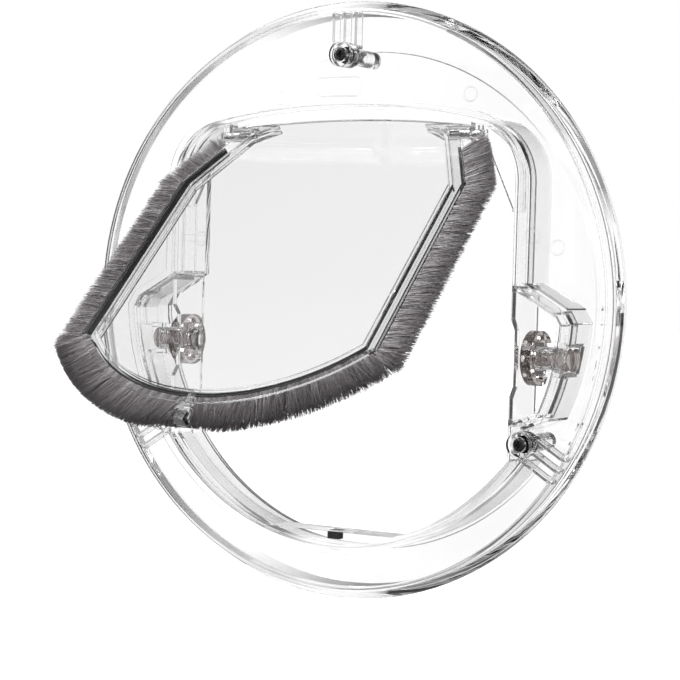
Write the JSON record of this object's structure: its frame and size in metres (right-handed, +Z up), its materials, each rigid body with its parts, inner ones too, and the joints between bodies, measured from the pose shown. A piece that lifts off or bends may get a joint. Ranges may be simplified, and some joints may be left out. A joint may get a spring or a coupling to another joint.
{
  "type": "cat flap",
  "caption": "Round clear cat flap for a cut-out in a pane: two clamped frames, a swinging flap with brush edge and magnet, and side thumbwheel locks.",
  "frame": {"origin": "centre of the round outer rim on the clamping plane, where the rear frame's lip meets the pane", "axes": "+Z up; -Y is the front, the side the screws go in from; +Y is the rear; +X is the right seen from the front"},
  "size_m": [0.25, 0.1414, 0.25],
  "materials": {
    "clear_plastic": "clear, glossy",
    "smoked_plastic": "smoked, glossy",
    "backing_band": "matte black",
    "pile": "grey nylon pile",
    "steel_pin": "bright",
    "screw_steel": "dark, satin",
    "magnet_metal": "dark, satin"
  },
  "bodies": {
    "frames": {"front_frame": "clear_plastic", "rear_frame": "clear_plastic", "hinge_pin_left": "steel_pin", "hinge_pin_right": "steel_pin", "threshold_magnet": "magnet_metal", "magnet_keeper": "magnet_metal", "clamp_screw_top": "screw_steel", "clamp_screw_right": "screw_steel", "clamp_screw_left": "screw_steel"},
    "flap": {"flap_panel": "clear_plastic", "brush_backing_left": "backing_band", "brush_backing_right": "backing_band", "brush_pile_left": "pile", "brush_pile_right": "pile", "flap_magnet": "magnet_metal", "magnet_clip": "clear_plastic"},
    "wheel_left": {"lock_wheel_left": "smoked_plastic"},
    "wheel_right": {"lock_wheel_right": "smoked_plastic"},
    "bolt_left": {"lock_bolt_left": "smoked_plastic", "lock_cap_left": "clear_plastic"},
    "bolt_right": {"lock_bolt_right": "smoked_plastic", "lock_cap_right": "clear_plastic"}
  },
  "joints": [
    {"name": "flap_swing", "type": "hinge", "parent": "frames", "child": "flap", "pos_m": [0, -0.001, 0.0695], "axis": [1, 0, 0], "range_deg": [-40, 130]},
    {"name": "wheel_turn_right", "type": "hinge", "parent": "frames", "child": "wheel_right", "pos_m": [0.085, 0.007, -0.0203], "axis": [1, 0, 0], "range_deg": [0, 180]},
    {"name": "wheel_turn_left", "type": "hinge", "parent": "frames", "child": "wheel_left", "pos_m": [-0.085, 0.007, -0.0203], "axis": [1, 0, 0], "range_deg": [-39.8, 140]},
    {"name": "bolt_slide_right", "type": "slide", "parent": "frames", "child": "bolt_right", "axis": [-1, 0, 0], "range_m": [0, 0.0141]},
    {"name": "bolt_slide_left", "type": "slide", "parent": "frames", "child": "bolt_left", "axis": [1, 0, 0], "range_m": [-0.0032, 0.011]}
  ],
  "couplings": [
    {"joint": "bolt_slide_right", "follows": "wheel_turn_right", "m_per_rad": 0.0044563},
    {"joint": "bolt_slide_left", "follows": "wheel_turn_left", "m_per_rad": 0.0044563}
  ]
}
